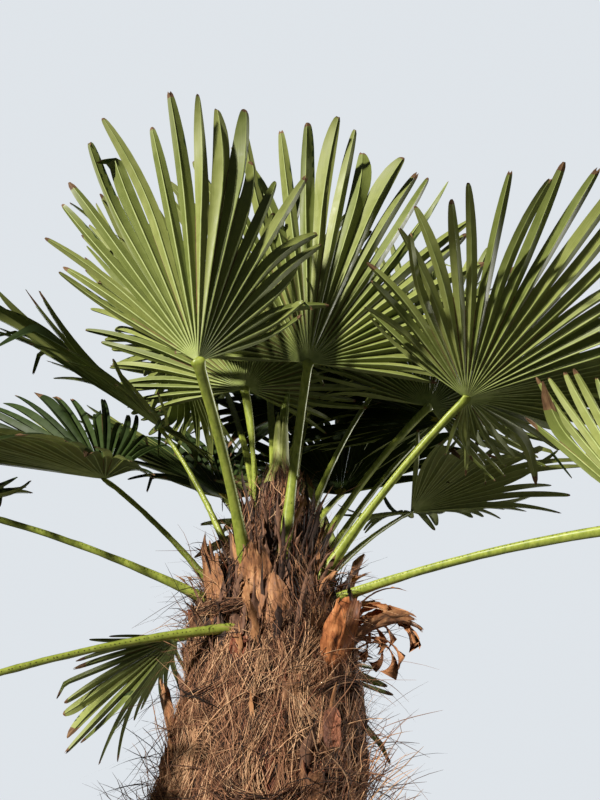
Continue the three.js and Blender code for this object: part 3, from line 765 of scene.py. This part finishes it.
def coat():
    made = {}
    for k, (tone, (_, part, depth)) in enumerate(FIBRES.items()):
        rng = np.random.default_rng(40 + k)
        fine, coarse = (Piece(f"fibre_{kind}_{tone}", "trunk_fibre") for kind in ("fine", "coarse"))
        made[tone] = (fine, coarse)
        lifts = (depth - 0.001, depth + 0.005)

        def scatter(lay_as, piece, layer):
            lay_as(piece, scattered(rng, part, lifts, *layer[:-1]), rng, layer[-1])

        for layer in SCATTERED:
            scatter(ribbons, fine, layer)
        for count, levels, lengths, widths in TUFTED:
            ribbons(fine, tufted(rng, int(count * part), levels, lengths, lifts), rng, widths)
        scatter(ribbons, fine, HEAD_FIBRES)
        scatter(strands, coarse, COARSE_FIBRES)
        if depth > 0:
            *bundle, thick, count = ROLL
            laid = swag(rng, *bundle, int(count * part), thick, 9, (0.6, 1.3))
            ribbons(fine, laid, rng, (0.0004, 0.0009), 1.2)
            for *bundle, thick, count in SWAGS:
                laid = swag(rng, *bundle, int(count * part * BUNDLE_EXTRA), thick)
                strands(coarse, laid, rng, (0.0009, 0.0016))
            for turns, levels, count in WILD_ENDS:
                laid = loose_ends(rng, turns, levels, int(count * part * BUNDLE_EXTRA), (0.06, 0.2),
                                  (0.0, 0.9), (0.0, 0.6))
                strands(coarse, laid, rng, (0.0007, 0.0019))
        if tone in ("straw", "tan"):
            for *straws, widths in STRAWS:
                strands(coarse, loose_ends(rng, *straws), rng, widths)
    return made


fibres = coat()


# Frame of a strap along its length, leaning out from the trunk and curling towards its end
def strap_frame(turn, level, lean, curl, length, shares):
    turn = math.radians(turn)
    level *= MM
    tilt = np.radians(90 - lean - curl * shares**2)
    out = outward(turn)
    forward = out * np.cos(tilt)[:, None] + UP * np.sin(tilt)[:, None]
    step = np.diff(shares, prepend=0) * length
    start = middle_at(level) + out * (radius_at(level) - STRAP_SEAT_DEPTH)
    at = start + np.cumsum(forward * step[:, None], 0)
    side = sideways(turn)
    return at, side, forward, np.cross(side, forward)


# How far each old leaf base is cut down outwards, and how hollow its end is
BASE_CUTS = {"front_right_cut": 0.75, "front_flat": 0.06, "left_cut": 0.3, "left_low": 0.25,
             "front_left_dark": 0.5}
BASE_HOLLOWS = {"left_low": 0.006, "front_low": 0.006}


# Old leaf base: a woody wedge with a broken or cut end
def leaf_base(name, values, index):
    turn, level, length, width, thick, lean = values
    rng = np.random.default_rng(300 + index)
    length, width, thick = length * MM, width * MM, thick * MM
    shares = np.linspace(0, 1, 22)
    at, side, forward, face = strap_frame(turn, level, lean, 0, length, shares)
    ring = ring_of(40)
    u, across = ring / math.tau, shares[:, None]
    x, y = squarer(np.cos(ring), 0.7), squarer(np.sin(ring), 0.7)
    wide = width / 2 * (1 - 0.3 * shares)
    deep = thick / 2 * (1 - 0.2 * shares)
    grain = (noise(u, index * 3 + across * 1.5, 20, 51 + index)
             + 0.5 * noise(u, index * 5 + across * 3, 40, 61 + index))
    swell = 1 + 0.09 * grain
    points = placed(at[:, None], side, x * wide[:, None] * swell,
                    face[:, None], y * deep[:, None] * (swell + 0.06 * grain))
    cut = BASE_CUTS.get(name, 0.15)
    ragged = 0.03 if name == "front_right_cut" else 0.10
    jag = (ragged * length * noise(u, index + 0.5, 16, 71 + index)
           + 0.5 * ragged * length * noise(u, index + 0.5, 40, 81 + index) - cut * length * (y + 1) / 2)
    points = points + forward[:, None] * (np.clip((across - 0.3) / 0.7, 0, 1) * jag)[..., None]
    wood = dark_piece if name == "front_left_dark" else base_piece
    wood.nodes.append("leaf_base_" + name)
    wood.grids(points, closed=True)
    rim = points[-1]
    centre = rim.mean(0)
    rings = [rim]
    hollow = BASE_HOLLOWS.get(name, 0.002)
    for k, part in enumerate((0.86, 0.8, 0.55, 0.3, 0.04)):
        inner = centre + (rim - centre) * part
        rough = rng.normal(0, 0.0009, len(rim)) - hollow * k
        rings.append(inner + forward[-1] * rough[:, None])
    (pale_cut if name == "front_right_cut" else cut_piece).grids(np.stack(rings), closed=True)


base_piece, dark_piece, cut_piece, pale_cut = (Piece(name, "leaf_base") for name in (
    "old_leaf_bases", "old_leaf_base_dark", "leaf_base_ends", "leaf_base_cut_face"))
for k, (name, values) in enumerate(LEAF_BASES.items()):
    leaf_base(name, values, k)

# How ragged, wavy and pointed each dried sheath is
SHEATH_LOOKS = {
    "right_wide": (0.14, 0.004, 0.30),
    "front_bulge": (0.16, 0.003, 0.80),
    "front_curled": (0.30, 0.006, 0.45),
    "left_ragged": (0.45, 0.005, 0.78),
    "right_ragged": (0.50, 0.006, 0.70),
    "right_ribbon": (0.35, 0.007, 0.35),
}


# Dried sheath: a thin cupped sheet, ragged and curled at its end
def sheath(piece, name, values, index):
    turn, level, length, width, _, lean, curl = values
    ragged, wave, point = SHEATH_LOOKS.get(name, (0.40, 0.005, 0.72))
    length, width = length * MM, width * MM
    shares = np.linspace(0, 1, 40)
    at, side, _, face = strap_frame(turn, level, lean, curl, length, shares)
    across = np.linspace(-1, 1, 33)
    wide = width / 2 * (1 + 0.25 * np.sin(math.pi * shares) - point * shares**2.5)
    u = (across + 1) / 2 * 0.5
    tear = ragged * (0.5 + 0.5 * noise(u, index * 2.0 + 0.3, 24, 91 + index))
    tear = 1 - tear * (0.35 + 0.65 * np.abs(across))
    tear = tear - 0.4 * ragged * (noise(u, index + 0.7, 60, 92 + index) > 0.2)
    rows = np.clip(shares[:, None] * tear, 0, 1)
    frayed = 1 + 0.10 * noise(index * 0.13, rows * 9 + index, 8, 93 + index) * np.abs(across)

    out = along_line(rows, shares, face)
    reach = across * np.interp(rows, shares, wide) * frayed
    lift = (np.interp(rows, shares, 0.32 * wide) * (1 - across**2)
            + wave * noise(u, rows * 4 + index, 6, 94 + index) * (0.3 + 0.7 * rows)
            + 0.4 * wave * noise(u, rows * 8 + index, 22, 95 + index)
            + 0.0009 * noise(u, rows * 2 + index, 90, 96 + index))
    points = placed(along_line(rows, shares, at), side, reach, out, lift)
    rim = np.clip(1 - np.abs(across) ** 8, 0.1, 1)[:, None]
    piece.nodes.append("sheath_" + name)
    piece.grids(points + out * 0.0007 * rim)
    piece.grids(points - out * 0.0007 * rim, flip=True)


sheath_piece = Piece("dry_sheaths", "dry_sheath")
boot_piece = Piece("stalk_boot", "dry_sheath")
for k, (name, values) in enumerate(SHEATHS.items()):
    sheath(boot_piece if name == "right_wide" else sheath_piece, name, values, k)


# Torn strips: turns, levels, lengths, widths, leans and curls are ranges
def strips(piece, rng, count, turns, levels, lengths, widths, leans, curls, rows=10, point=0.8):
    column = (count, 1)
    s = np.linspace(0, 1, rows)
    turn = np.radians(rng.uniform(*turns, count))
    z0 = rng.uniform(*levels, count)
    length = rng.uniform(*lengths, column)
    lean, curl = np.radians(rng.uniform(*leans, column)), np.radians(rng.uniform(*curls, column))
    tilt = (math.pi / 2 - lean - curl * s**2)[..., None]
    forward = outward(turn)[:, None] * np.cos(tilt) + UP * np.sin(tilt)
    start = middle_at(z0) + outward(turn) * (radius_at(z0) - 0.004)[:, None]
    step = (length / (rows - 1))[..., None]
    at = start[:, None] + np.cumsum(forward * step, 1) - forward[:, :1] * step
    twist = (rng.normal(0, 0.7, column) * s + rng.normal(0, 0.3, column))[..., None]
    flat = np.broadcast_to(sideways(turn)[:, None], forward.shape)
    side = flat * np.cos(twist) + np.cross(flat, forward) * np.sin(twist)
    face = np.cross(side, forward)
    at = at + side * (rng.normal(0, 0.12, column) * length * s**2)[..., None]
    shape = 1 + 0.3 * np.sin(math.pi * s) - point * s**2
    wide = (rng.uniform(*widths, column) / 2 * shape)[..., None]
    across = np.array([-1, -0.5, 0, 0.5, 1.0])
    fray = 1 + 0.28 * rng.normal(0, 1, (count, rows, 5)) * np.abs(across)
    lift = 0.35 * wide * (1 - across**2) + rng.normal(0, 0.05, (count, rows, 5)) * wide
    jag = rng.uniform(-0.3, 0.05, (count, 1, 5)) * length[..., None] * (s**4)[:, None]
    points = placed(at[:, :, None], side[:, :, None], across * wide * fray, face[:, :, None], lift)
    piece.grids(points + forward[:, :, None] * jag[..., None])


# Tones of each colour of strip, and its counts in the three groups
STRIPS = {
    "dark": (((34, 24, 20), (54, 38, 31), (78, 56, 45)), (150, 90, 30)),
    "brown": (((84, 58, 46), (114, 82, 64), (142, 106, 82)), (130, 90, 40)),
    "tan": (((140, 94, 60), (172, 122, 82), (194, 150, 106)), (34, 30, 30)),
}
STRIP_GROUPS = (
    ((0, 360), (1.67, 1.83), (0.03, 0.12), (0.003, 0.012), (-6, 22), (-20, 40)),
    ((0, 360), (1.60, 1.74), (0.03, 0.11), (0.003, 0.013), (0, 30), (-30, 70)),
    ((0, 360), (0.15, 1.60), (0.04, 0.09), (0.006, 0.016), (0, 16), (0, 50)),
)
DEAD_CURLS = (
    (7, (342, 356), (1.615, 1.66), (0.10, 0.16), (0.012, 0.026), (30, 70), (100, 260), 26, 0.5),
    (9, (340, 362), (1.60, 1.66), (0.07, 0.15), (0.004, 0.010), (30, 90), (60, 300), 26, 0.5),
    (5, (338, 358), (1.66, 1.69), (0.05, 0.10), (0.008, 0.016), (20, 40), (20, 90), 16, 0.6),
)
FRONT_STRIPS = (3, (249, 256), (1.565, 1.60), (0.04, 0.07), (0.004, 0.007), (8, 26), (0, 40))
strip_pieces = {}
for k, (tone, (_, counts)) in enumerate(STRIPS.items()):
    rng = np.random.default_rng(500 + k)
    strip_pieces[tone] = Piece(f"sheath_strips_{tone}", "dry_sheath")
    for count, group in zip(counts, STRIP_GROUPS):
        strips(strip_pieces[tone], rng, count, *group)
curls = Piece("dead_leaf_curls", "dry_sheath")
rng = np.random.default_rng(541)
for group in DEAD_CURLS:
    strips(curls, rng, *group)
strips(strip_pieces["tan"], rng, *FRONT_STRIPS)


# Young leaf, still folded like a closed fan
def young_leaf():
    piece = Piece("young_leaf_folded", "young_leaf", ["young_leaf"])
    station, width, depth = (np.array(SPEAR_STATIONS) * MM).T
    shares = np.linspace(0, 1, 40)
    run = shares * station[-1]
    turn, lean = math.radians(SPEAR_TURN), math.radians(SPEAR_LEAN)
    side = sideways(turn)
    forward = outward(turn) * math.sin(lean) + UP * math.cos(lean)
    face = np.cross(side, forward)
    at = middle_at(SPEAR_LEVEL) + forward * run[:, None]
    wide = np.interp(run, station, width) / 2
    deep = np.interp(run, station, depth) / 2
    ring = ring_of(SPEAR_SIDES)
    zig = 1 - 0.28 * (np.arange(SPEAR_SIDES) % 4 >= 2) * np.clip((shares[:, None] - 0.12) * 5, 0, 1)
    piece.grids(placed(at[:, None], side, np.cos(ring) * wide[:, None] * zig,
                       face, np.sin(ring) * deep[:, None] * zig), closed=True)
    return piece


young_piece = young_leaf()


# Feet of the youngest stalks, packed round the tip of the trunk
def young_feet():
    piece = Piece("young_stalk_feet", "young_leaf")
    rng = np.random.default_rng(620)
    s = np.linspace(0, 1, 14)
    wide = (0.013 * (1 - 0.5 * s**2) * (1 - s**8))[:, None]
    ring = ring_of(12)
    for k in range(13):
        turn = math.radians(k * SPIRAL_STEP + 20)
        low = 1.80 + 0.009 * k
        reach = 0.17 * rng.uniform(0.7, 1.1)
        out, side = outward(turn), sideways(turn)
        z = low + reach * s
        away = radius_at(z) * (1 - s) + 0.012 * s - 0.002 * k / 13
        path = middle_at(np.minimum(z, TRUNK_TOP)) + out * away[:, None]
        path[:, 2] = z
        piece.grids(placed(path[:, None], side, np.cos(ring) * wide, out, np.sin(ring) * wide * 0.45),
                    closed=True)
    return piece


feet_piece = young_feet()

# Tones of the leaflets' lower and upper sheets
LEAF_UNDER = {
    "pale": ((124, 132, 66), (140, 148, 80), (154, 160, 94)),
    "mid": ((112, 121, 58), (128, 136, 70), (140, 148, 82)),
    "deep": ((98, 110, 50), (114, 124, 60), (126, 136, 72)),
}
LEAF_UPPER = {
    "mid": ((40, 54, 24), (52, 68, 30), (64, 80, 38)),
    "deep": ((32, 45, 20), (43, 57, 26), (54, 69, 33)),
}
LEAF = ((900, 14, 1), 60, 0.25, (0.42, 0.6))
FIBRE = ((60, 60, 25), 220, 0.3)
STRIP = ((170, 170, 14), 140, 0.5)
WOOD = ((190, 190, 14), 150, 0.7)


# Builds a piece with its material: name, tones, streaks, grain, bump, roughness and what differs
def skin(piece, *look, **more):
    piece.build(material(*look, **more), smooth=piece is not teeth)


for tone, piece in zip(UNDER_TONES, under):
    skin(piece, f"leaf_under_{tone}", LEAF_UNDER[tone], *LEAF, along_uv=True)
for tone, piece in zip(UNDER_TONES[1:], upper):
    skin(piece, f"leaf_upper_{tone}", LEAF_UPPER[tone], *LEAF, along_uv=True, specular=0.25)
skin(dry_tips, "leaf_tip_dry", ((78, 56, 38), (116, 86, 58), (148, 118, 84)), (500, 30, 1), 90, 0.4,
     along_uv=True)
skin(ribs, "leaf_rib", ((140, 154, 84), (160, 172, 100), (172, 182, 116)), (40, 40, 40), 80, 0.2,
     (0.4, 0.55))
skin(seams, "leaf_seam", ((84, 58, 36), (108, 78, 50), (132, 100, 66)), (60, 60, 60), 90, 0.2)
skin(hubs, "frond_hub", ((148, 136, 52), (176, 162, 68), (192, 176, 86)), (90, 90, 90), 120, 0.3,
     (0.45, 0.6))
skin(stalks, "frond_stalk", ((118, 132, 50), (150, 162, 66), (168, 176, 84)), (160, 60, 60), 140, 0.25,
     (0.32, 0.5))
skin(teeth, "stalk_tooth", ((74, 62, 30), (104, 88, 44), (126, 112, 60)), (90, 90, 90), 90, 0.2,
     (0.6, 0.8))
# Coat under the fibres: dark brown, partly painted shade in the gaps between fibres
skin(trunk_piece, "trunk_mat", ((28, 19, 15), (62, 42, 31), (112, 80, 58)), (620, 620, 46), 300, 1.0,
     (0.85, 0.98), depth=0.003)
for tone, pair in fibres.items():
    for piece in pair:
        skin(piece, piece.name, FIBRES[tone][0], *FIBRE)
for tone, piece in strip_pieces.items():
    skin(piece, f"strip_{tone}", STRIPS[tone][0], *STRIP)
skin(curls, "dead_leaf", ((132, 82, 48), (176, 120, 78), (206, 156, 112)), (600, 12, 1), 100, 0.5,
     (0.5, 0.75), along_uv=True)
skin(dark_piece, "leaf_base_dark", ((22, 12, 9), (46, 22, 16), (84, 40, 28)), *WOOD, depth=0.002)
skin(boot_piece, "stalk_boot_skin", ((104, 54, 34), (198, 124, 76), (236, 168, 112)), (110, 110, 14), 60,
     0.9, (0.42, 0.62), depth=0.003)
skin(base_piece, "leaf_base_wood", ((86, 56, 38), (128, 88, 60), (162, 120, 84)), *WOOD, depth=0.002)
skin(pale_cut, "leaf_base_cut", ((140, 84, 62), (172, 112, 84), (194, 136, 106)), (240, 240, 50), 220,
     0.8, depth=0.002)
skin(cut_piece, "leaf_base_end", ((92, 46, 32), (130, 74, 50), (160, 102, 72)), (220, 220, 60), 200,
     0.8, (0.75, 0.95), depth=0.002)
skin(sheath_piece, "sheath_paper", ((96, 62, 42), (156, 106, 68), (198, 150, 104)), (130, 130, 12), 120,
     0.6, (0.55, 0.8), depth=0.0015, sheen=0.15)
skin(feet_piece, "young_stalk_skin", ((120, 128, 60), (150, 156, 84), (172, 172, 108)), (160, 160, 10), 90,
     0.3, (0.45, 0.6))
skin(young_piece, "young_leaf_skin", ((128, 144, 60), (156, 170, 82), (174, 186, 104)), (120, 120, 8), 80,
     0.3, (0.4, 0.55))

FLOOR_HALF = 1.3
FLOOR_LEVEL = -0.001

# Key light low from the left in front and a weaker one from the right behind: strength, degrees
# across, colour and the way towards it
KEY_ASIDE, KEY_HEIGHT = math.radians(35), math.radians(17)
LIGHTS = {
    "key": (5.9, 3, (1.0, 0.96, 0.88), (
        -math.sin(KEY_ASIDE) * math.cos(KEY_HEIGHT), -math.cos(KEY_ASIDE) * math.cos(KEY_HEIGHT),
        math.sin(KEY_HEIGHT))),
    "back": (2.8, 14, (1.0, 0.97, 0.92), (0.86, 0.44, 0.26)),
}
FILL_COLOR, FILL_STRENGTH = (0.92, 0.96, 1.0, 1), 0.05
SEEN_COLOR = (0.74, 0.78, 0.82, 1)


# Pale floor, the two lights, faint light from all round, a pale backdrop and the camera
def studio():
    scene = bpy.context.scene
    mesh = bpy.data.meshes.new("studio_floor")
    corners = ((-1, -1), (1, -1), (1, 1), (-1, 1))
    rim = [(x * FLOOR_HALF, y * FLOOR_HALF, FLOOR_LEVEL) for x, y in corners]
    mesh.from_pydata(rim, [], [(0, 1, 2, 3)])
    paper = ((180, 180, 176), (188, 188, 184), (194, 194, 190))
    mesh.materials.append(material("floor_paper", paper, (3, 3, 3), 12, 0.02, (0.8, 0.9)))
    floor = add_object("studio_floor", mesh)

    for name, (strength, size, color, towards) in LIGHTS.items():
        light = bpy.data.lights.new(name, "SUN")
        light.energy, light.angle, light.color = strength, math.radians(size), color
        add_object(name, light).rotation_euler = Vector(towards).to_track_quat("Z", "Y").to_euler()

    world = bpy.data.worlds.new("studio")
    world.use_nodes = True
    tree = world.node_tree
    tree.nodes.clear()
    fill = add_node(tree, "Background", {"Color": FILL_COLOR, "Strength": FILL_STRENGTH})
    seen = add_node(tree, "Background", {"Color": SEEN_COLOR})
    camera_rays = add_node(tree, "LightPath", {})
    mix = add_node(tree, "MixShader", {"Fac": camera_rays, 1: fill, 2: seen})
    add_node(tree, "OutputWorld", {"Surface": mix})
    scene.world = world
    scene.view_settings.view_transform = "Standard"

    lens = bpy.data.cameras.new("camera")
    lens.sensor_width = CAMERA_SENSOR
    lens.sensor_fit = "AUTO"
    lens.lens = CAMERA_LENS
    lens.clip_start = 0.01
    camera = add_object("camera", lens)
    camera.location = CAMERA_PLACE
    camera.rotation_euler = (math.radians(90 + CAMERA_PITCH), 0, 0)
    scene.camera = camera


studio()
